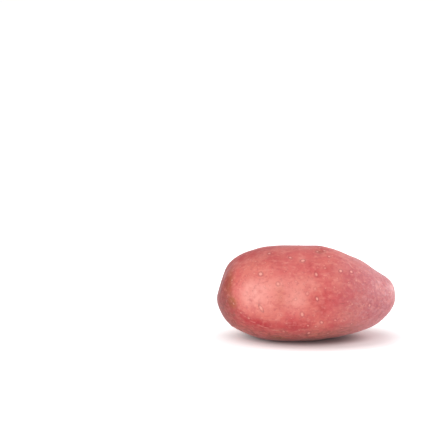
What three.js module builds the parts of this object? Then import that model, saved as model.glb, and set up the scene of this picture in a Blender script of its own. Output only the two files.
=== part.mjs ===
// A red-skinned potato: one tuber, grown as a single piece, lying on its flatter side.
// Millimetres, +Z up. X runs along the tuber, from the blunt rose end at -X to the narrower heel at +X.
// The origin is the middle of the bounding box's base, inside the flat spot that the tuber rests on.

import * as THREE from "three";

// Driving dimensions of the plain egg that the tuber is close to
const LENGTH = 95;
const BLUNT_LENGTH = 37.2; // from the rose end to the widest station
const DEPTH = 54; // across, from front to back
const HEIGHT = 51; // before the resting spot is taken off
const RESTING_CUT = 1.7; // how far the resting spot reaches into the round underside

// Fullness of each end's outline: 2 is an ellipse, and more is squarer
const BLUNT_FULLNESS = 2.25;
const NARROW_FULLNESS = 2.0;

// The spine runs slightly downhill to +X, sags near the heel, and its two ends lean back
const SPINE_SLOPE = 0.01;
const SPINE_SAG = 1.3;
const SPINE_SAG_AT = 37;
const SPINE_SAG_WIDTH = 15;
const SPINE_LEAN = 1.2;

// Swells and hollows of the flesh: station along X, degrees around the spine from the
// top towards the front, radius, and height, which is negative for a hollow
const SWELLS = [
  { x: 10, around: 0, radius: 13, height: 1.3 },
  { x: 11, around: 62, radius: 9, height: -0.55 },
  { x: -20, around: 75, radius: 16, height: 0.7 },
  { x: 34, around: 95, radius: 13, height: 0.4 },
  { x: 22, around: 160, radius: 14, height: -0.6 },
  { x: 40, around: 15, radius: 9, height: -0.4 },
  { x: 44.5, around: 5, radius: 7, height: 0.6 },
  { x: -46.3, around: 5, radius: 8, height: -2.6 },
  { x: -40, around: 20, radius: 11, height: -0.9 },
  { x: -44, around: 160, radius: 8, height: 0.3 },
  { x: 28, around: 250, radius: 15, height: -0.8 },
  { x: -12, around: 290, radius: 18, height: 0.9 },
  { x: -36, around: 250, radius: 12, height: -0.6 },
  { x: 36, around: 320, radius: 13, height: 0.6 },
  { x: 6, around: 225, radius: 13, height: -0.6 },
  { x: -22, around: 340, radius: 12, height: -0.3 },
];

// Eyes: each sits at the bottom of a shallow dimple, and they crowd towards the rose end.
// The last one is the heel scar, where the stolon came away.
const EYES = [
  { x: -44, around: 262, radius: 4.0, height: -1.1 },
  { x: -40, around: 305, radius: 4.0, height: -1.0 },
  { x: -39, around: 215, radius: 4.0, height: -1.0 },
  { x: -27, around: 276, radius: 4.5, height: -1.1 },
  { x: -9, around: 236, radius: 4.5, height: -1.0 },
  { x: 5, around: 306, radius: 4.5, height: -0.9 },
  { x: 25, around: 262, radius: 4.5, height: -0.9 },
  { x: 7, around: 14, radius: 4.0, height: -0.5 },
  { x: 45.5, around: 275, radius: 4.0, height: -1.0 },
];

// Facets
const RINGS = 56;
const FACETS_AROUND = 56;

const SKIN_COLOUR = 0xd2696b;
const SKIN_ROUGHNESS = 0.5;

const widestX = BLUNT_LENGTH - LENGTH / 2;
const narrowLength = LENGTH - BLUNT_LENGTH;
const restingZ = RESTING_CUT - HEIGHT / 2;

// Each end is a superellipse in outline; this is its share of the full girth at a station along X.
function girthShare(x) {
  const blunt = x < widestX;
  const reach = blunt ? (widestX - x) / BLUNT_LENGTH : (x - widestX) / narrowLength;
  const fullness = blunt ? BLUNT_FULLNESS : NARROW_FULLNESS;
  return Math.max(0, 1 - reach ** fullness) ** (1 / fullness);
}

// The point of the plain egg at a station along X and an angle around the spine.
function eggPoint(x, around) {
  const share = girthShare(x);
  const sag = SPINE_SAG * Math.exp(-(((x - SPINE_SAG_AT) / SPINE_SAG_WIDTH) ** 2));
  const spineY = SPINE_LEAN * (x / (LENGTH / 2)) ** 2;
  const spineZ = -SPINE_SLOPE * x - sag;
  const y = spineY - (DEPTH / 2) * share * Math.sin(around);
  const z = spineZ + (HEIGHT / 2) * share * Math.cos(around);
  return new THREE.Vector3(x, y, z);
}

// The egg's outward direction at one of its points, from the ellipsoid that matches its end.
function outwardAt(point) {
  const endLength = point.x < widestX ? BLUNT_LENGTH : narrowLength;
  const outward = new THREE.Vector3(
    (point.x - widestX) / endLength ** 2,
    point.y / (DEPTH / 2) ** 2,
    point.z / (HEIGHT / 2) ** 2,
  );
  return outward.normalize();
}

// Pushes a point out by every swell and in by every hollow, each a smooth bell of its own radius.
function withRelief(point) {
  const outward = outwardAt(point);
  const shaped = point.clone();
  for (const { x, around, radius, height } of [...SWELLS, ...EYES]) {
    const middle = eggPoint(x, THREE.MathUtils.degToRad(around));
    const fade = Math.exp(-point.distanceToSquared(middle) / radius ** 2);
    shaped.addScaledVector(outward, height * fade);
  }
  return shaped;
}

// Station along X of a turn of the outline from the rose end, 0, to the heel, PI: the steps
// get shorter towards both ends, where the outline bends hardest.
function stationAt(turn) {
  const reach = Math.abs(Math.cos(turn));
  if (turn < Math.PI / 2) {
    return widestX - BLUNT_LENGTH * reach ** (2 / BLUNT_FULLNESS);
  }
  return widestX + narrowLength * reach ** (2 / NARROW_FULLNESS);
}

function skinPoint(turn, around) {
  const point = withRelief(eggPoint(stationAt(turn), around));
  point.z = Math.max(point.z, restingZ) - restingZ;
  return point;
}

// One closed skin: a point at each end, rings of points between them, and triangles facing out.
function tuberGeometry() {
  const points = [skinPoint(0, 0)];
  for (let ring = 1; ring < RINGS; ring += 1) {
    for (let step = 0; step < FACETS_AROUND; step += 1) {
      points.push(skinPoint((Math.PI * ring) / RINGS, (2 * Math.PI * step) / FACETS_AROUND));
    }
  }
  points.push(skinPoint(Math.PI, 0));

  const heel = points.length - 1;
  const lastRing = heel - FACETS_AROUND;
  const triangles = [];
  for (let step = 0; step < FACETS_AROUND; step += 1) {
    const next = (step + 1) % FACETS_AROUND;
    triangles.push(0, 1 + next, 1 + step);
    triangles.push(heel, lastRing + step, lastRing + next);
    for (let ring = 1; ring < RINGS - 1; ring += 1) {
      const here = 1 + (ring - 1) * FACETS_AROUND;
      const beyond = here + FACETS_AROUND;
      triangles.push(here + step, here + next, beyond + next);
      triangles.push(here + step, beyond + next, beyond + step);
    }
  }

  const geometry = new THREE.BufferGeometry().setFromPoints(points);
  geometry.setIndex(triangles);
  geometry.computeBoundingBox();
  const middle = geometry.boundingBox.getCenter(new THREE.Vector3());
  geometry.translate(-middle.x, -middle.y, 0);
  geometry.computeVertexNormals();
  return geometry;
}

const skin = new THREE.MeshStandardMaterial({
  color: SKIN_COLOUR,
  roughness: SKIN_ROUGHNESS,
  metalness: 0,
});

const tuber = new THREE.Mesh(tuberGeometry(), skin);
tuber.name = "potato_tuber";

const potato = new THREE.Group();
potato.add(tuber);

export default potato;
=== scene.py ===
import math

import bpy
import numpy as np
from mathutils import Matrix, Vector


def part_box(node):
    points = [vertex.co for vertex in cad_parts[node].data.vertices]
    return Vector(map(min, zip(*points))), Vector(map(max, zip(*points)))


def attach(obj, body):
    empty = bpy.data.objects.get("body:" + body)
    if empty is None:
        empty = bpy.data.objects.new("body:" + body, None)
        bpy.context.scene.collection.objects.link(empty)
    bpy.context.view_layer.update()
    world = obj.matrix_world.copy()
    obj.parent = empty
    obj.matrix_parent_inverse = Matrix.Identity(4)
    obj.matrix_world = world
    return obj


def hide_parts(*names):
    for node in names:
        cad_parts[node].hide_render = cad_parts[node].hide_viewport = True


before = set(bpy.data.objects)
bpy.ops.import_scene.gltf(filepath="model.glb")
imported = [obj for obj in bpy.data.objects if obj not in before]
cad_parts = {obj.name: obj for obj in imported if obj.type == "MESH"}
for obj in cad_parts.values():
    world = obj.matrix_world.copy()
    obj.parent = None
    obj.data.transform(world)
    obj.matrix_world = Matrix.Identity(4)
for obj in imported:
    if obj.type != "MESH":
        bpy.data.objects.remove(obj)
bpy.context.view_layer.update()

# ---------------------------------------------------------------- Camera
# A long lens, low down in front of the tuber, aimed above it and to its left: the tuber lies
# low in the frame and right of its middle.

EYE_LEVEL = 13  # degrees above the tuber's middle
STAND_OFF = 0.664  # metres from lens to tuber
LENS = 100  # mm
SENSOR_WIDTH = 36  # mm
AIM_LEFT = 0.0444  # metres beside the tuber's middle
AIM_UP = 0.0359  # metres above it, square to the line of sight

low_corner, high_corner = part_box("potato_tuber")
middle = (low_corner + high_corner) / 2
sight = Vector((0, math.cos(math.radians(EYE_LEVEL)), -math.sin(math.radians(EYE_LEVEL))))
right_hand = Vector((1, 0, 0))
upward = right_hand.cross(sight)

camera = bpy.data.objects.new("camera", bpy.data.cameras.new("camera"))
bpy.context.scene.collection.objects.link(camera)
camera.data.lens = LENS
camera.data.sensor_width = SENSOR_WIDTH
camera.data.clip_start = 0.05  # metres, well in front of the tuber
camera.data.clip_end = 50  # and well past the floor's far edge
camera.location = middle - sight * STAND_OFF
aim = middle - right_hand * AIM_LEFT + upward * AIM_UP
camera.rotation_mode = "QUATERNION"
camera.rotation_quaternion = (aim - camera.location).to_track_quat("-Z", "Y")
bpy.context.scene.camera = camera

# ---------------------------------------------------------------- Potato tuber
# One grown tuber of a red-skinned, long-oval potato: firm flesh under a thin smooth skin. It
# swelled unevenly in the soil, blunt at the rose end at -X, where the eyes crowd, and narrower
# at the heel at +X, where it hung on its stolon. Pale pores dot the skin all over.

# The plain egg that the tuber is close to, in mm
LENGTH = 95
BLUNT_LENGTH = 37.2
NARROW_LENGTH = LENGTH - BLUNT_LENGTH
WIDEST_X = BLUNT_LENGTH - LENGTH / 2
DEPTH = 54
HEIGHT = 51
RESTING_CUT = 1.7
BLUNT_FULLNESS = 2.25
NARROW_FULLNESS = 2.0

# The spine runs slightly downhill to +X, sags near the heel, and its two ends lean back
SPINE_SLOPE = 0.01
SPINE_SAG = 1.3
SPINE_SAG_AT = 37
SPINE_SAG_WIDTH = 15
SPINE_LEAN = 1.2

# Swells and hollows of the flesh: station along X, degrees around from the top towards the
# front, radius, and height
SWELLS = [
    (10, 0, 13, 1.3),
    (11, 62, 9, -0.55),
    (-20, 75, 16, 0.7),
    (34, 95, 13, 0.4),
    (22, 160, 14, -0.6),
    (40, 15, 9, -0.4),
    (44.5, 5, 7, 0.6),
    (-46.3, 5, 8, -2.6),
    (-40, 20, 11, -0.9),
    (-44, 160, 8, 0.3),
    (28, 250, 15, -0.8),
    (-12, 290, 18, 0.9),
    (-36, 250, 12, -0.6),
    (36, 320, 13, 0.6),
    (6, 225, 13, -0.6),
    (-22, 340, 12, -0.3),
]

# Eyes in their dimples, in the same four numbers; the last is the heel scar
EYES = [
    (-44, 262, 4.0, -1.1),
    (-40, 305, 4.0, -1.0),
    (-39, 215, 4.0, -1.0),
    (-27, 276, 4.5, -1.1),
    (-9, 236, 4.5, -1.0),
    (5, 306, 4.5, -0.9),
    (25, 262, 4.5, -0.9),
    (7, 14, 4.0, -0.5),
    (45.5, 275, 4.0, -1.0),
]

RINGS = 336
STEPS_AROUND = 288


def egg(x, around):
    """Points of the plain egg at stations x and angles around its spine. Each end is a superellipse
    in outline, whose girth is (1 - reach^n)^(1/n) of the whole, and each cross-section is an ellipse
    on a spine that slopes, sags and leans."""
    blunt = x < WIDEST_X
    reach = np.where(blunt, (WIDEST_X - x) / BLUNT_LENGTH, (x - WIDEST_X) / NARROW_LENGTH).clip(0, 1)
    fullness = np.where(blunt, BLUNT_FULLNESS, NARROW_FULLNESS)
    girth = (1 - reach**fullness) ** (1 / fullness)
    sag = SPINE_SAG * np.exp(-(((x - SPINE_SAG_AT) / SPINE_SAG_WIDTH) ** 2))
    y = SPINE_LEAN * (x / (LENGTH / 2)) ** 2 - DEPTH / 2 * girth * np.sin(around)
    z = -SPINE_SLOPE * x - sag + HEIGHT / 2 * girth * np.cos(around)
    return np.stack(np.broadcast_arrays(x, y, z), axis=-1)


def outward_from(points):
    """Unit directions out of the egg: the gradient of the ellipsoid that matches each end."""
    end_length = np.where(points[..., 0] < WIDEST_X, BLUNT_LENGTH, NARROW_LENGTH)
    gradient = np.stack(
        [
            (points[..., 0] - WIDEST_X) / end_length**2,
            points[..., 1] / (DEPTH / 2) ** 2,
            points[..., 2] / (HEIGHT / 2) ** 2,
        ],
        axis=-1,
    )
    return gradient / np.linalg.norm(gradient, axis=-1, keepdims=True)


# The grid of skin points: rings from the rose end to the heel, and steps around each ring
turn = np.linspace(0, math.pi, RINGS + 1)[:, None]
around = (2 * math.pi / STEPS_AROUND * np.arange(STEPS_AROUND))[None, :]
reach_at_turn = np.abs(np.cos(turn))
station = np.where(
    turn < math.pi / 2,
    WIDEST_X - BLUNT_LENGTH * reach_at_turn ** (2 / BLUNT_FULLNESS),
    WIDEST_X + NARROW_LENGTH * reach_at_turn ** (2 / NARROW_FULLNESS),
)
plain = egg(station, around)
outward = outward_from(plain)
grid_size = plain.shape[:2]


def spot(x, degrees):
    """The egg's point at a station and an angle around, with the directions there out of the skin,
    along it towards the heel, and around it."""
    centre = egg(np.array(float(x)), math.radians(degrees))
    out = outward_from(centre)
    along = np.array([1.0, 0, 0]) - out[0] * out
    along /= np.linalg.norm(along)
    return centre, out, along, np.cross(along, out)


def bell(x, degrees, radius, height):
    """A smooth bell over the skin: height times e to the minus square of distance over radius."""
    distance = np.linalg.norm(plain - spot(x, degrees)[0], axis=-1)
    return height * np.exp(-((distance / radius) ** 2))


relief = sum(bell(*place) for place in SWELLS + EYES)

# Below each eye, on the side of the heel, the scar of its scale leaf stands up as a curved brow
BROW_RADIUS = 3.0
BROW_WIDTH = 0.7
BROW_HEIGHT = 0.4
BROW_NARROWING = 1.3  # how fast the brow fades towards its two ends
# An eye is a slit across the tuber, so this share of the squared distance around does not count
SLIT = 0.6
BLIND_EYE_GAP = 3  # mm that a blind eye, which has hardly any bud, is kept away from its bud
NO_EYE_NEAR = 9.0  # mm, past the reach of any eye
eye_gap = np.full(grid_size, NO_EYE_NEAR)
brow = np.zeros(grid_size)
for x, degrees, _, depth in EYES:
    centre, _, along, across = spot(x, degrees)
    away = plain - centre
    ahead = away @ along
    aside = away @ across
    distance = np.linalg.norm(away, axis=-1)
    slit_distance = np.sqrt(np.maximum(distance**2 - SLIT * aside**2, 0))
    facing = np.clip(ahead / np.maximum(distance, 0.01), 0, 1) ** BROW_NARROWING
    arc = facing * np.exp(-(((distance - BROW_RADIUS) / BROW_WIDTH) ** 2))
    openness = min(1, -depth)  # the shallow eye is the blind one
    brow = np.maximum(brow, arc * openness)
    eye_gap = np.minimum(eye_gap, slit_distance + BLIND_EYE_GAP * (1 - openness))
relief += BROW_HEIGHT * brow

# The bud itself sits in a small pit
BUD_PIT_DEPTH = 0.4
BUD_PIT_RADIUS = 0.9
relief -= BUD_PIT_DEPTH * np.exp(-((eye_gap / BUD_PIT_RADIUS) ** 2))

# Slow unevenness of the skin: seeded waves added up
SEED = 27
UNEVEN_WAVES = 40
SHORTEST_WAVE = 9  # mm
LONGEST_WAVE = 24  # mm
UNEVEN_HEIGHT = 0.035  # mm, of each wave
draws = np.random.default_rng(SEED)
for _ in range(UNEVEN_WAVES):
    heading = draws.normal(size=3)
    heading *= 2 * math.pi / draws.uniform(SHORTEST_WAVE, LONGEST_WAVE) / np.linalg.norm(heading)
    relief += UNEVEN_HEIGHT * np.sin(plain @ heading + draws.uniform(0, 2 * math.pi))

# The pores that stand out on the front: station, degrees around, half-width, and how pale
FRONT_PORES = [
    (-38, 22, 0.5, 0.5),
    (-38, 40, 0.5, 0.5),
    (-38, 58, 0.5, 0.6),
    (-37, 95, 0.6, 0.5),
    (-33, 106, 0.55, 0.5),
    (-30, 6, 0.5, 0.6),
    (-30, 26, 0.5, 0.5),
    (-29, 112, 0.65, 0.5),
    (-26, 34, 0.55, 0.5),
    (-23, 54, 0.85, 1.0),
    (-19, 22, 0.7, 0.9),
    (-14, 66, 0.75, 0.6),
    (-12.5, 102, 0.5, 0.4),
    (-11, 126, 0.7, 0.5),
    (-8, 30, 0.65, 0.9),
    (-5, 83, 0.55, 0.5),
    (-3, 124, 0.5, 0.5),
    (-3, 133, 0.5, 0.5),
    (-1.5, 34, 0.85, 1.0),
    (-1.5, 101, 0.9, 0.7),
    (1, 76, 0.7, 0.5),
    (1.5, 117, 0.6, 0.7),
    (2, 130, 0.8, 0.8),
    (5, 70, 0.65, 0.4),
    (5.5, 52, 0.8, 0.7),
    (5.5, 119, 0.55, 0.6),
    (6, 82, 0.7, 0.9),
    (6, 14, 0.65, 0.8),
    (7, 4, 0.6, 0.8),
    (8.5, 113, 0.7, 0.8),
    (9.5, 11, 0.6, 0.8),
    (10, 42, 0.55, 0.6),
    (12, 22, 0.65, 0.8),
    (12, 135, 0.6, 0.7),
    (15.5, 111, 0.6, 0.6),
    (18, 43, 0.75, 0.9),
    (20, 112, 0.5, 0.5),
    (23.5, 40, 0.75, 0.9),
    (24, 88, 0.55, 0.5),
    (24, 120, 0.5, 0.5),
    (33, 90, 0.7, 0.6),
    (39, 56, 0.55, 0.5),
    (43.5, 60, 0.5, 0.5),
]

# The rest are scattered by chance: bolder ones on the far side, from low on the front round the
# back to the crest, and faint ones everywhere
BOLD_PORES = 80
FAINT_PORES = 260
BOLD_SPACING = 7  # mm
FAINT_SPACING = 3.2  # mm
BOLD_FROM = 140.4  # degrees around, low on the front, where the skin turns out of sight
BOLD_LOWEST = 4  # mm above the bottom of the plain egg
SPARE_PICKS = 12  # picks drawn for each pore wanted, since many fall too close to another


def scattered(count, spacing, taken, keep):
    """Skin points picked by chance, in proportion to the area around them, each at least that
    spacing in mm from the others and from the ones taken."""
    ring_gap = np.linalg.norm(np.gradient(plain, axis=0), axis=-1)
    step_gap = np.linalg.norm(np.roll(plain, -1, axis=1) - plain, axis=-1)
    area = (ring_gap * step_gap * keep).ravel()
    picks = draws.choice(area.size, size=count * SPARE_PICKS, p=area / area.sum())
    found = list(taken)
    for point in plain.reshape(-1, 3)[picks]:
        if len(found) == len(taken) + count:
            break
        if np.linalg.norm(np.array(found) - point, axis=-1).min() > spacing:
            found.append(point)
    return found[len(taken):]


front_centres = [spot(x, degrees)[0] for x, degrees, _, _ in FRONT_PORES]
far_side = np.broadcast_to(around, grid_size) > math.radians(BOLD_FROM)
far_side = far_side & (plain[..., 2] > BOLD_LOWEST - HEIGHT / 2)
bold_centres = scattered(BOLD_PORES, BOLD_SPACING, front_centres, far_side)
faint_centres = scattered(FAINT_PORES, FAINT_SPACING, front_centres + bold_centres, np.ones(grid_size))

pore_centres = np.array(front_centres + bold_centres + faint_centres)
half_widths = np.concatenate([
    [width for _, _, width, _ in FRONT_PORES],
    draws.uniform(0.4, 0.8, len(bold_centres)),
    draws.uniform(0.3, 0.5, len(faint_centres)),
])
paleness = np.concatenate([
    [pale for _, _, _, pale in FRONT_PORES],
    draws.uniform(0.3, 0.9, len(bold_centres)),
    draws.uniform(0.15, 0.5, len(faint_centres)),
])

# Each pore is a low oval dome in a faint moat. pore_gap is the distance from the nearest one, in its
# own half-widths
PORE_HEIGHT = 0.22  # mm
PORE_EDGE = 0.9  # where the dome falls away, in half-widths
MOAT_DEPTH = 0.05  # mm
MOAT_AT = 1.7  # half-widths out
MOAT_WIDTH = 0.5  # half-widths
NO_PORE_NEAR = 4.0  # half-widths, past the reach of any pore
pore_gap = np.full(grid_size, NO_PORE_NEAR)
pore_pale = np.zeros(grid_size)
for centre, half_width, pale in zip(pore_centres, half_widths, paleness):
    away = plain - centre
    stretch = draws.uniform(0.8, 1.25)
    slant = draws.uniform(0, math.pi)
    out = outward_from(centre)
    along = np.cross(out, [math.cos(slant), 0.2, math.sin(slant)])
    along /= np.linalg.norm(along)
    long_part = away @ along
    cross_part = np.sqrt(np.maximum((away**2).sum(axis=-1) - long_part**2, 0))
    gap = np.hypot(long_part / stretch, cross_part * stretch) / half_width
    nearest = gap < pore_gap
    pore_gap = np.where(nearest, gap, pore_gap)
    pore_pale = np.where(nearest, pale, pore_pale)
relief += PORE_HEIGHT * pore_pale * np.exp(-((pore_gap / PORE_EDGE) ** 4))
relief -= MOAT_DEPTH * pore_pale * np.exp(-(((pore_gap - MOAT_AT) / MOAT_WIDTH) ** 2))

# Long pores, scuffs and fine wrinkles: station, degrees around, half-length and half-width in mm,
# slant, which turns the heel's end of the mark by so many degrees further around, and tone, which
# is negative for a dark one
MARKS = [
    (-22.5, 95, 1.35, 0.55, 55, 0.9),
    (-27, 117, 2.6, 0.3, 14, 0.6),
    (-21, 122, 3.0, 0.28, 8, 0.7),
    (-15, 125, 2.6, 0.25, 3, 0.5),
    (-31, 110, 1.6, 0.3, 20, 0.5),
    (-23, 128, 3.6, 0.3, 6, -0.6),
    (-12, 133, 4.0, 0.3, 0, -0.6),
    (-33, 118, 2.0, 0.3, 24, -0.5),
    (-4, 138, 3.0, 0.3, -4, -0.5),
    (9, 124, 2.2, 0.3, -10, -0.4),
    (19.5, 87, 2.0, 0.28, 0, -0.7),
    (23, 90, 1.4, 0.3, 0, 0.5),
    (23, 27, 2.4, 0.45, 55, 0.6),
    (13, 30, 2.0, 0.3, 20, 0.35),
    (-8, 58, 2.2, 0.3, 5, 0.3),
    (-30, 250, 3.0, 0.3, 10, -0.5),
    (12, 285, 4.0, 0.3, -8, -0.5),
    (-2, 255, 3.0, 0.3, 4, 0.5),
]
MARK_RELIEF = 0.12  # mm
# A pale mark has a dark rim: its strength for each mm of the mark's half-width, and where it lies and
# how wide it is, in half-widths
RIM_STRENGTH = 1.2
RIM_AT = 1.5
RIM_WIDTH = 0.4
pale_mark = np.zeros(grid_size)
dark_mark = np.zeros(grid_size)
for x, degrees, half_length, half_width, slant, tone in MARKS:
    centre, _, along, across = spot(x, degrees)
    away = plain - centre
    turned = math.radians(slant)
    lengthwise = away @ (math.cos(turned) * along + math.sin(turned) * across)
    crosswise = np.sqrt(np.maximum((away**2).sum(axis=-1) - lengthwise**2, 0))
    gap = np.hypot(lengthwise / half_length, crosswise / half_width)
    core = np.exp(-(gap**4))
    rim = RIM_STRENGTH * half_width * np.exp(-(((gap - RIM_AT) / RIM_WIDTH) ** 2))
    pale_mark = np.maximum(pale_mark, core * max(tone, 0))
    dark_mark = np.maximum(dark_mark, core * max(-tone, 0) + rim * max(tone, 0))
relief += MARK_RELIEF * (pale_mark - dark_mark)

# The skin presses flat on what it lies on, with a soft bend around the resting spot
PRESS_BEND = 0.35  # mm
skin = plain + outward * relief[..., None]
above = skin[..., 2] - (RESTING_CUT - HEIGHT / 2)
skin[..., 2] = np.where(
    np.abs(above) < PRESS_BEND,
    (above + PRESS_BEND) ** 2 / (4 * PRESS_BEND),
    np.maximum(above, 0),
)


def glow(places):
    """Soft oval patches added up: strength times e to the minus square of distance, in each patch's
    own reach along the tuber and around it."""
    total = np.zeros(grid_size)
    for x, degrees, reach_along, reach_around, strength in places:
        away = plain - spot(x, degrees)[0]
        square = (away[..., 0] / reach_along) ** 2 + (away[..., 1:] ** 2).sum(axis=-1) / reach_around**2
        total += strength * np.exp(-square)
    return np.clip(total, 0, 1)


# Where the colour shifts, in the skin's own blotches and in painted highlight and shade: station,
# degrees around, reach along and around in mm, strength
TAN_PATCHES = [
    (-41, 58, 3.5, 8, 1.0),
    (-38, 95, 3.5, 3.5, 1.0),
    (-14, 143, 5, 2.5, 0.9),
    (7, 14, 3, 2.5, 0.5),
    (-13, 80, 3.5, 8, 0.3),
    (-30, 215, 9, 8, 0.6),
    (20, 200, 9, 6, 0.5),
    (2, 340, 7, 6, 0.4),
    (38, 290, 5, 7, 0.6),
]
# Crimson blotches of the skin, and painted shade: the patch on the tip of the rose end and the patches
# along the crest are deeper red as painted shade and dark reflection
CRIMSON_AND_SHADE_PATCHES = [
    (-45, 70, 5, 16, 1.0),
    (-36, 112, 8, 6, 0.8),
    (-26, 118, 8, 4, 0.6),
    (-35, 4, 8, 10, 0.7),
    (-19, 8, 12, 11, 0.7),
    (-2, 345, 12, 9, 0.65),
    (9, 5, 10, 10, 0.6),
    (15, 122, 9, 5, 0.6),
    (-14, 36, 6, 5, 0.35),
    (13, 80, 12, 6, 0.55),
    (9, 98, 7, 5, 0.5),
    (26, 50, 9, 8, 0.5),
    (8, 45, 10, 6, 0.4),
    (-4, 117, 9, 5, 0.9),
    (-20, 120, 9, 5, 0.5),
    (-18, 300, 10, 12, 0.6),
    (14, 250, 12, 8, 0.7),
    (32, 330, 8, 9, 0.5),
]
# Pale skin, and painted highlight: the patches on the front from 60 to 85 degrees around are painted
# highlight from the key box and from light near the lens; the others are pale skin
PALE_AND_HIGHLIGHT_PATCHES = [
    (-27, 80, 8, 9, 0.9),
    (-4, 82, 6, 8, 0.7),
    (-14, 62, 9, 5, 0.35),
    (-14, 84, 6, 8, 0.4),
    (3, 62, 8, 5, 0.3),
    (-2, 32, 3, 3, 0.4),
    (20, 36, 4, 4, 0.4),
    (-2, 270, 12, 12, 0.6),
    (30, 230, 9, 9, 0.5),
]
# Russet skin, and painted shade: the russet patches low on the front also darken the underside as
# painted shade
RUSSET_AND_SHADE_PATCHES = [
    (-20, 142, 20, 9, 1.0),
    (-40, 122, 8, 10, 0.9),
    (-42, 70, 4, 12, 0.4),
    (-42, 240, 8, 12, 0.7),
    (6, 145, 16, 9, 1.0),
    (24, 135, 9, 6, 0.4),
    (-6, 210, 18, 9, 0.8),
    (8, 14, 4, 3, 0.25),
    (22, 95, 8, 8, 0.3),
    (46, 270, 6, 10, 0.8),
]

# What the mesh holds for its material at every point
fields = {
    "pore_gap": pore_gap,
    "pore_pale": pore_pale,
    "eye_gap": eye_gap,
    "brow": brow,
    "pale_mark": pale_mark,
    "dark_mark": dark_mark,
    "tan": glow(TAN_PATCHES),
    # crimson blotches, with painted shade on the rose end's tip and along the crest
    "crimson_and_shade": glow(CRIMSON_AND_SHADE_PATCHES),
    # pale skin, with the painted highlight on the front
    "pale": glow(PALE_AND_HIGHLIGHT_PATCHES),
    # russet skin, with painted shade on the underside
    "russet_and_shade": glow(RUSSET_AND_SHADE_PATCHES),
}


def closed(values):
    """The grid as one list of points: the first ring and the last one shrink to one point each."""
    return np.concatenate([values[:1, 0], values[1:-1].reshape(-1, *values.shape[2:]), values[-1:, 0]])


# Quads between the rings and a fan of triangles at each end, all facing out
here = np.arange(STEPS_AROUND)
beside = (here + 1) % STEPS_AROUND
ring_start = 1 + STEPS_AROUND * np.arange(RINGS - 2)[:, None]
next_start = ring_start + STEPS_AROUND
quads = np.stack(
    [ring_start + here, ring_start + beside, next_start + beside, next_start + here], axis=-1
)
heel_point = 1 + STEPS_AROUND * (RINGS - 1)
last_start = heel_point - STEPS_AROUND
rose_fan = np.stack([0 * here, 1 + beside, 1 + here], axis=-1)
heel_fan = np.stack([0 * here + heel_point, last_start + here, last_start + beside], axis=-1)

# In metres, centred on the CAD tuber and standing on its base
places = closed(skin)
places[:, :2] -= (places[:, :2].min(axis=0) + places[:, :2].max(axis=0)) / 2
places = places / 1000 + np.array([middle.x, middle.y, low_corner.z])

tuber_mesh = bpy.data.meshes.new("potato_skin")
tuber_mesh.from_pydata(
    places.tolist(), [], rose_fan.tolist() + quads.reshape(-1, 4).tolist() + heel_fan.tolist()
)
tuber_mesh.shade_smooth()
for name, values in fields.items():
    layer = tuber_mesh.attributes.new(name, "FLOAT", "POINT")
    layer.data.foreach_set("value", closed(values).astype(np.float32))

tuber = bpy.data.objects.new("potato_skin", tuber_mesh)
bpy.context.scene.collection.objects.link(tuber)

# The skin's map for painted copies: the front half and the back half, each spread as an oval
# by the equal-area rule, one above the other
MAP_HALF_WIDTH = 0.47
MAP_HALF_HEIGHT = 0.235
MAP_CENTRES = ([0.5, 0.25], [0.5, 0.75])  # of the front half and of the back half
MAP_EASE = 1.02  # just over 1, so that the far pole of each half stays finite
half_size = np.array([high_corner.x - low_corner.x, high_corner.y - low_corner.y, high_corner.z]) / 2
from_middle = (places - np.array(middle)) / half_size
from_middle /= np.linalg.norm(from_middle, axis=1, keepdims=True)
front_oval = from_middle[:, [0, 2]] / np.sqrt(MAP_EASE - from_middle[:, 1:2])
back_oval = from_middle[:, [0, 2]] * [-1, 1] / np.sqrt(MAP_EASE + from_middle[:, 1:2])
front_map = front_oval * [MAP_HALF_WIDTH, MAP_HALF_HEIGHT] + MAP_CENTRES[0]
back_map = back_oval * [MAP_HALF_WIDTH, MAP_HALF_HEIGHT] + MAP_CENTRES[1]
corner_points = np.empty(len(tuber_mesh.loops), dtype=np.int32)
tuber_mesh.loops.foreach_get("vertex_index", corner_points)
front_face = here < STEPS_AROUND // 2
in_front = np.concatenate([
    np.repeat(front_face, 3),
    np.tile(np.repeat(front_face, 4), RINGS - 2),
    np.repeat(front_face, 3),
])
skin_map = tuber_mesh.uv_layers.new(name="OFBake")
map_places = np.where(in_front[:, None], front_map[corner_points], back_map[corner_points])
skin_map.data.foreach_set("uv", map_places.astype(np.float32).ravel())


def linear(hex_colour):
    """An sRGB hex colour as linear red, green, blue and alpha."""
    channels = np.array([int(hex_colour[i:i + 2], 16) for i in (1, 3, 5)]) / 255
    curve = np.where(channels <= 0.04045, channels / 12.92, ((channels + 0.055) / 1.055) ** 2.4)
    return (*curve, 1.0)


def add(nodes, kind, joins=(), **settings):
    """Adds a node. joins are its inputs by name or number, each a socket to link or a value to set."""
    node = nodes.new(kind)
    for name, value in settings.items():
        setattr(node, name, value)
    for name, value in dict(joins).items():
        if isinstance(value, bpy.types.NodeSocket):
            nodes.id_data.links.new(value, node.inputs[name])
        else:
            node.inputs[name].default_value = value
    return node


# Fresh periderm of a red potato, washed and dry: a thin layer of cork with red sap under it.
# It gives the eye a soft satin skin, blotched crimson and salmon, with pale specks and pores
# and brown netting where it cracked as it grew. Its colour also holds painted highlight, sheen and
# shade.
skin_finish = bpy.data.materials.new("washed_red_potato_skin")
skin_finish.use_nodes = True
nodes = skin_finish.node_tree.nodes
nodes.clear()
place = add(nodes, "ShaderNodeTexCoord").outputs["Object"]
# The skin stretched as the tuber grew longer, so streaks and netting run along it
STRETCH = 2.5
stretched = add(
    nodes, "ShaderNodeMapping", {"Vector": place, "Scale": (1 / STRETCH, 1, 1)}
).outputs["Vector"]


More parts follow.
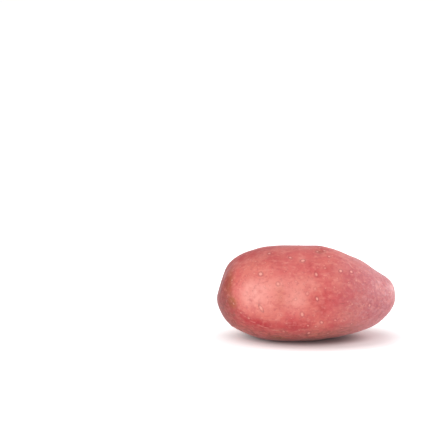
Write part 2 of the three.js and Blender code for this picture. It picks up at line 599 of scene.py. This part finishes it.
def held(name, start=0.0, end=1.0):
    """A mask from what the mesh holds by that name: a smooth step from 0 at start to 1 at end."""
    value = add(nodes, "ShaderNodeAttribute", attribute_name=name).outputs["Fac"]
    return add(
        nodes, "ShaderNodeMapRange", {"Value": value, "From Min": start, "From Max": end},
        interpolation_type="SMOOTHSTEP",
    ).outputs["Result"]


def clouds(size, start, end, detail=4.0, roughness=0.6, vector=place):
    """A mask of soft clouds of that size in mm: a smooth step of noise, from 0 at start to 1 at end."""
    noise = add(
        nodes, "ShaderNodeTexNoise",
        {"Vector": vector, "Scale": 1000 / size, "Detail": detail, "Roughness": roughness},
    ).outputs["Fac"]
    return add(
        nodes, "ShaderNodeMapRange", {"Value": noise, "From Min": start, "From Max": end},
        interpolation_type="SMOOTHSTEP",
    ).outputs["Result"]


def specks(spacing, across, share):
    """A mask of soft round specks: one of that width in mm in a share of cells of that spacing."""
    cells = add(nodes, "ShaderNodeTexVoronoi", {"Vector": place, "Scale": 1000 / spacing}).outputs
    chance = add(nodes, "ShaderNodeSeparateColor", {"Color": cells["Color"]}).outputs["Red"]
    rim = across / 2 / spacing
    mask = 1.0
    for value, start, end in ((cells["Distance"], rim, rim * 0.3), (chance, 1 - share, 1 - share / 2)):
        part = add(
            nodes, "ShaderNodeMapRange", {"Value": value, "From Min": start, "From Max": end},
            interpolation_type="SMOOTHSTEP",
        ).outputs["Result"]
        mask = add(nodes, "ShaderNodeMath", {0: part, 1: mask}, operation="MULTIPLY").outputs[0]
    return mask


# The narrow end is paler and cooler, partly its own mauve skin and partly a painted silvery sheen; the
# rose end is a deeper red, partly its own crimson and partly painted shade: metres along the tuber to
# where each starts and where it is full
NARROW_END_MAUVE_AND_SHEEN_RANGE = (0.008, 0.040)
ROSE_END_RED_AND_SHADE_RANGE = (-0.034, -0.0465)
along_tuber = add(nodes, "ShaderNodeSeparateXYZ", {"Vector": place}).outputs["X"]
narrow_end_mauve_and_sheen, rose_end_red_and_shade = (
    add(
        nodes, "ShaderNodeMapRange", {"Value": along_tuber, "From Min": start, "From Max": end},
        interpolation_type="SMOOTHSTEP",
    ).outputs["Result"]
    for start, end in (NARROW_END_MAUVE_AND_SHEEN_RANGE, ROSE_END_RED_AND_SHADE_RANGE)
)

# Brown netting: cracks between cells 2.6 mm across, full for 0.1 mm each way and gone by 0.57 mm.
# They are drawn a little coarser than real ones, so that they show
NET_CELL = 2.6
NET_CORE = 0.104
NET_FADE = 0.57
cell_edge = add(
    nodes, "ShaderNodeTexVoronoi", {"Vector": stretched, "Scale": 1000 / NET_CELL},
    feature="DISTANCE_TO_EDGE",
).outputs["Distance"]
cracks = add(
    nodes, "ShaderNodeMapRange",
    {"Value": cell_edge, "From Min": NET_FADE / NET_CELL, "From Max": NET_CORE / NET_CELL},
    interpolation_type="SMOOTHSTEP",
).outputs["Result"]
# the russet patches, which also carry painted shade on the underside
russet_and_shade = held("russet_and_shade")
net = add(nodes, "ShaderNodeMath", {0: cracks, 1: russet_and_shade}, operation="MULTIPLY").outputs[0]

# Colour, from the flesh-tinted ground up: each shade, its share, and the masks that keep it in place
GROUND = "#d86663"
SHADES = [
    ("#de7a6f", 1.0, clouds(16, 0.35, 0.65, 3.0)),
    # pale skin, with the painted highlight on the front
    ("#eea094", 0.85, held("pale")),
    ("#bb7040", 0.95, held("tan"), clouds(5, 0.05, 0.4)),
    ("#cc5455", 0.4, clouds(6, 0.48, 0.68)),
    # crimson blotches, with painted shade on the rose end's tip and along the crest
    ("#c0383f", 1.0, held("crimson_and_shade"), clouds(5, 0.2, 0.6)),
    # the narrow end's mauve, partly own skin and partly painted silvery sheen
    ("#bd7781", 0.65, narrow_end_mauve_and_sheen),
    # the rose end's deep red, partly own crimson and partly painted shade
    ("#8a2529", 0.75, rose_end_red_and_shade),
    # fine blotches, streaks and specks
    ("#ee9f91", 0.4, clouds(2.6, 0.48, 0.75)),
    ("#ae4049", 0.4, clouds(1.8, 0.5, 0.75)),
    ("#c2464c", 0.3, clouds(2.0, 0.5, 0.7, vector=stretched)),
    ("#f0a496", 0.3, clouds(3.0, 0.52, 0.72, vector=stretched)),
    ("#f2ada0", 0.3, specks(2.4, 1.2, 0.5)),
    ("#dfa8ae", 0.4, specks(1.5, 0.9, 0.7), narrow_end_mauve_and_sheen),
    ("#9c5560", 0.4, clouds(1.4, 0.5, 0.68), narrow_end_mauve_and_sheen),
    ("#d9a3a6", 0.4, clouds(2.2, 0.5, 0.68), narrow_end_mauve_and_sheen),
    ("#8e4038", 0.2, specks(3.3, 0.8, 0.4)),
    # russet skin and its netting; the russet low on the front also darkens the underside as painted
    # shade
    ("#8e4a43", 0.4, russet_and_shade),
    ("#7a3c2e", 0.55, net, clouds(4, 0.38, 0.6, 3.0)),
    ("#d98a78", 0.5, russet_and_shade, clouds(3.4, 0.55, 0.7)),
    # each pore a pale cork dome in a slightly darker ring
    ("#a04448", 0.35, held("pore_pale"), held("pore_gap", 0.8, 1.2), held("pore_gap", 2.3, 1.4)),
    ("#f2b3a4", 0.75, held("pore_pale"), held("pore_gap", 1.3, 0.5)),
    # scuffs and wrinkles
    ("#8a4440", 0.6, held("dark_mark")),
    ("#efab9c", 0.75, held("pale_mark")),
    # brown skin in each eye's dimple, a tan brow, and the dark bud in its pit
    ("#a0563e", 0.5, held("eye_gap", 3.4, 0.6)),
    ("#d99c80", 0.35, held("brow", 0.3, 0.9)),
    ("#5f3024", 0.8, held("eye_gap", 1.1, 0.4)),
]
colour = linear(GROUND)
for shade, share, *masks in SHADES:
    for mask in masks:
        share = add(nodes, "ShaderNodeMath", {0: mask, 1: share}, operation="MULTIPLY").outputs[0]
    colour = add(
        nodes, "ShaderNodeMix", {"Factor": share, "A": colour, "B": linear(shade)}, data_type="RGBA"
    ).outputs["Result"]

# Relief too fine for the mesh, in mm: soft grain, specks that stand out, and netting that sinks in
GRAIN_SIZE = 0.9
GRAIN_HEIGHT = 0.05
SPECK_HEIGHT = 0.05
NET_DEPTH = 0.04
BUMP_UNIT = 0.001  # metres that a height of 1 stands for
grain = add(
    nodes, "ShaderNodeTexNoise",
    {"Vector": place, "Scale": 1000 / GRAIN_SIZE, "Detail": 3.0, "Roughness": 0.6},
).outputs["Fac"]
fine_height = 0.0
for mask, height in ((grain, GRAIN_HEIGHT), (specks(2.6, 0.9, 0.55), SPECK_HEIGHT), (net, -NET_DEPTH)):
    fine_height = add(
        nodes, "ShaderNodeMath", {0: mask, 1: height, 2: fine_height}, operation="MULTIPLY_ADD"
    ).outputs[0]
fine_relief = add(
    nodes, "ShaderNodeBump", {"Height": fine_height, "Strength": 0.8, "Distance": BUMP_UNIT}
)

# Waxy cork is satin, a little glossier in some places than in others
GLOSSIEST = 0.40
DULLEST = 0.50
CORK_IOR = 1.42
LIGHT_DEPTH = 0.003  # metres that red light spreads under the skin; green and blue go less far
gloss = add(
    nodes, "ShaderNodeMapRange",
    {"Value": clouds(3, 0.3, 0.7, 3.0), "To Min": GLOSSIEST, "To Max": DULLEST},
)
surface = add(
    nodes, "ShaderNodeBsdfPrincipled",
    {
        "Base Color": colour,
        "Roughness": gloss.outputs["Result"],
        "IOR": CORK_IOR,
        "Normal": fine_relief.outputs["Normal"],
        "Subsurface Weight": 0.2,
        "Subsurface Radius": (1.0, 0.3, 0.2),
        "Subsurface Scale": LIGHT_DEPTH,
        "Sheen Weight": 0.16,
        "Sheen Roughness": 0.4,
    },
)
add(nodes, "ShaderNodeOutputMaterial", {"Surface": surface.outputs["BSDF"]})
tuber_mesh.materials.append(skin_finish)

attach(tuber, "root")
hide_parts("potato_tuber")

# ---------------------------------------------------------------- Floor
# A seamless sheet of white card, painted matt. Away from the tuber it glows for the camera with painted
# light, so it runs into the white room unseen, and only the tuber's soft shadow, with a painted contact
# shadow under it, shows on it.

FLOOR_SIZE = 12  # metres
# Painted light: the open card glows for the camera from an oval round the tuber outwards, a glow
# that is seen and not cast: metres across the tuber to where it starts and where it is full, and its
# strength
PAINTED_CARD_GLOW = [
    (0.017, 0.036, 0.5),
    (0.1, 0.6, 0.35),
]
GLOW_SHAPE = 0.6  # the oval's width across the tuber, as a share of its length
GLOW_SHIFT = 0.010  # metres towards the heel, the side away from the key light
# Close under the tuber the card is painted grey, a painted contact shadow that deepens the real one:
# metres across the tuber to where the grey starts to fade and where it is gone, and its oval's shape
# and shift
CARD_WHITE = "#f4f3f4"
PAINTED_CONTACT_SHADOW = "#a19395"
CONTACT_START = 0.011
CONTACT_END = 0.020
CONTACT_SHAPE = 0.5
CONTACT_SHIFT = -0.002

floor_mesh = bpy.data.meshes.new("white_sweep")
half = FLOOR_SIZE / 2
floor_mesh.from_pydata(
    [(-half, -half, 0), (half, -half, 0), (half, half, 0), (-half, half, 0)], [], [(0, 1, 2, 3)]
)
floor = bpy.data.objects.new("white_sweep", floor_mesh)
bpy.context.scene.collection.objects.link(floor)

# White card under matt paint: it bounces soft light back up under the tuber
card = bpy.data.materials.new("matt_white_card")
card.use_nodes = True
nodes = card.node_tree.nodes
nodes.clear()
floor_place = add(nodes, "ShaderNodeTexCoord").outputs["Object"]


def oval(shape, shift):
    """How far out across the tuber a place on the card is, in ovals of that shape round a point
    shifted along the tuber."""
    narrowed = add(
        nodes, "ShaderNodeMapping",
        {"Vector": floor_place, "Location": (-shape * shift, 0, 0), "Scale": (shape, 1, 1)},
    ).outputs["Vector"]
    return add(nodes, "ShaderNodeVectorMath", {0: narrowed}, operation="LENGTH").outputs["Value"]


glow_from = oval(GLOW_SHAPE, GLOW_SHIFT)
painted_card_glow = 0.0
for start, full, strength in PAINTED_CARD_GLOW:
    part = add(
        nodes, "ShaderNodeMapRange",
        {"Value": glow_from, "From Min": start, "From Max": full, "To Max": strength},
        interpolation_type="SMOOTHSTEP",
    ).outputs["Result"]
    painted_card_glow = add(nodes, "ShaderNodeMath", {0: part, 1: painted_card_glow}, operation="ADD").outputs[0]
card_seen = add(nodes, "ShaderNodeLightPath").outputs["Is Camera Ray"]
past_painted_shadow = add(
    nodes, "ShaderNodeMapRange",
    {"Value": oval(CONTACT_SHAPE, CONTACT_SHIFT), "From Min": CONTACT_START, "From Max": CONTACT_END},
    interpolation_type="SMOOTHSTEP",
).outputs["Result"]
# painted contact shadow close under the tuber, white card beyond
card_colour = add(
    nodes, "ShaderNodeMix",
    {"Factor": past_painted_shadow, "A": linear(PAINTED_CONTACT_SHADOW), "B": linear(CARD_WHITE)}, data_type="RGBA",
).outputs["Result"]
paint = add(
    nodes, "ShaderNodeBsdfPrincipled",
    {
        "Base Color": card_colour,
        "Roughness": 0.9,
        "Specular IOR Level": 0.1,
        # the painted glow, seen by the camera only
        "Emission Color": linear("#ffffff"),
        "Emission Strength": add(
            nodes, "ShaderNodeMath", {0: painted_card_glow, 1: card_seen}, operation="MULTIPLY"
        ).outputs[0],
    },
)
add(nodes, "ShaderNodeOutputMaterial", {"Surface": paint.outputs["BSDF"]})
floor_mesh.materials.append(card)

# ---------------------------------------------------------------- Light
# A soft box stands low at the front left, another a little behind the heel on the right, and a
# wide one hangs overhead. The white room round them is darker on the left.

ROOM_LIGHT_LEFT = 0.15
ROOM_LIGHT_RIGHT = 0.7
# The room turns from dark to light between these, where -1 is straight left and 1 straight right
ROOM_TURN = (-0.9, 0.6)
ROOM_SEEN = 1.05  # what the camera sees of the room: a clean white


def soft_box(name, direction, distance, width, height, watts):
    """A soft box in that direction from the tuber's middle, facing it, with sizes in metres."""
    data = bpy.data.lights.new(name, "AREA")
    data.shape = "RECTANGLE"
    data.size, data.size_y, data.energy = width, height, watts
    box = bpy.data.objects.new(name, data)
    towards = Vector(direction).normalized()
    box.location = middle + towards * distance
    box.rotation_mode = "QUATERNION"
    box.rotation_quaternion = towards.to_track_quat("Z", "Y")
    bpy.context.scene.collection.objects.link(box)
    return box


soft_box("key_box", (-0.61, -0.76, 0.28), distance=1.2, width=0.7, height=0.7, watts=8.3)
soft_box("rim_box", (0.88, 0.46, 0.16), distance=1.2, width=0.9, height=0.7, watts=12)
top_box = soft_box("top_box", (0.1, -0.1, 1.0), distance=1.8, width=2.0, height=2.0, watts=9.6)
top_box.visible_glossy = False  # it lights the crest, and puts no shine on it

room = bpy.data.worlds.new("white_room")
room.use_nodes = True
nodes = room.node_tree.nodes
nodes.clear()
room_seen = add(nodes, "ShaderNodeLightPath").outputs["Is Camera Ray"]
room_direction = add(nodes, "ShaderNodeTexCoord").outputs["Generated"]
rightward = add(nodes, "ShaderNodeSeparateXYZ", {"Vector": room_direction}).outputs["X"]
wall_light = add(
    nodes, "ShaderNodeMapRange",
    {
        "Value": rightward, "From Min": ROOM_TURN[0], "From Max": ROOM_TURN[1],
        "To Min": ROOM_LIGHT_LEFT, "To Max": ROOM_LIGHT_RIGHT,
    },
    interpolation_type="SMOOTHSTEP",
).outputs["Result"]
room_strength = add(
    nodes, "ShaderNodeMix", {"Factor": room_seen, "A": wall_light, "B": ROOM_SEEN}
).outputs["Result"]
walls = add(nodes, "ShaderNodeBackground", {"Color": linear("#ffffff"), "Strength": room_strength})
add(nodes, "ShaderNodeOutputWorld", {"Surface": walls.outputs["Background"]})
bpy.context.scene.world = room
bpy.context.scene.view_settings.view_transform = "Standard"
